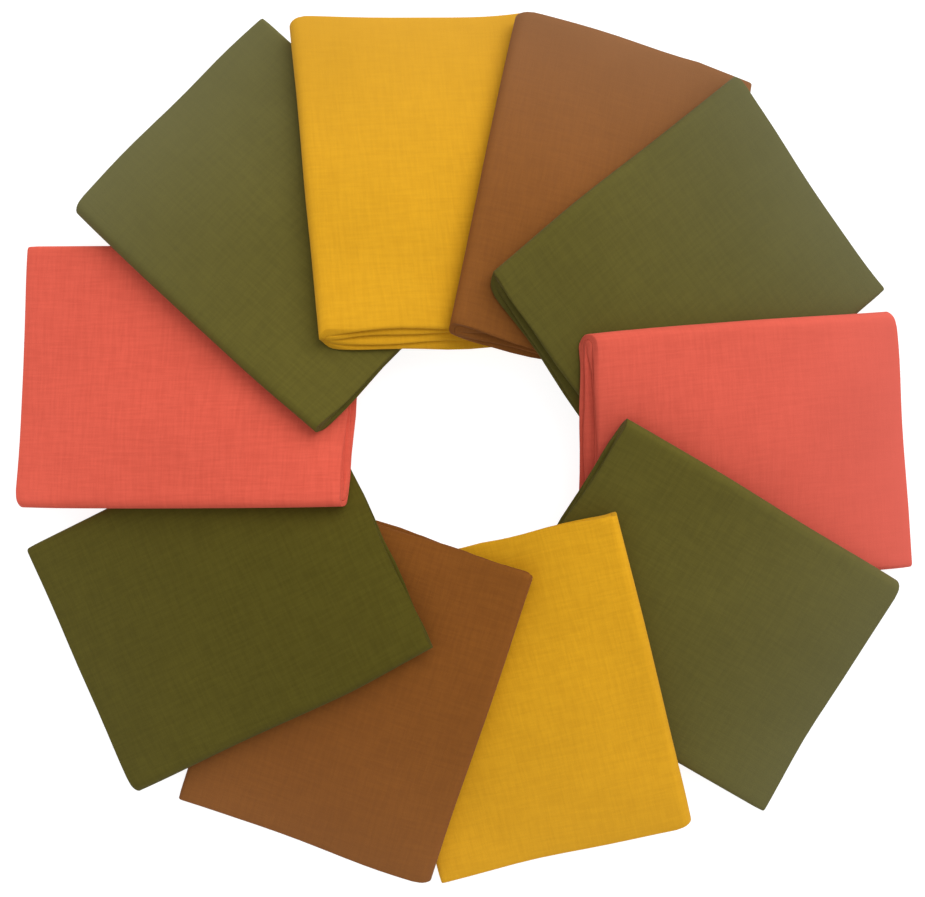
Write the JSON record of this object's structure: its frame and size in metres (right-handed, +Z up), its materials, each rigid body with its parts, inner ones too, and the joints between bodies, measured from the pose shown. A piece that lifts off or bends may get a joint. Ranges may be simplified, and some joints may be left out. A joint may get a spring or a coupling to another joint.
{
  "type": "folded fat quarter bundle laid in a ring",
  "caption": "Folded fat quarters of plain mustard, brown, olive green and coral cotton, fanned in a closed pinwheel ring with each folded edge raised on the one before",
  "frame": {"origin": "centre of the ring's bounding box, on the surface that it lies on", "axes": "+Z up out of the surface, +Y to the top of the ring as laid, where the first mustard piece points, +X to its right"},
  "size_m": [0.3911, 0.3836, 0.0425],
  "materials": {
    "cotton_mustard": "matte",
    "cotton_brown": "matte",
    "cotton_green": "matte",
    "cotton_coral": "matte"
  },
  "bodies": {
    "root": {"fat_quarter_01_mustard": "cotton_mustard", "fat_quarter_02_brown": "cotton_brown", "fat_quarter_03_green": "cotton_green", "fat_quarter_04_coral": "cotton_coral", "fat_quarter_05_green": "cotton_green", "fat_quarter_06_mustard": "cotton_mustard", "fat_quarter_07_brown": "cotton_brown", "fat_quarter_08_green": "cotton_green", "fat_quarter_09_coral": "cotton_coral", "fat_quarter_10_green": "cotton_green"}
  },
  "joints": []
}
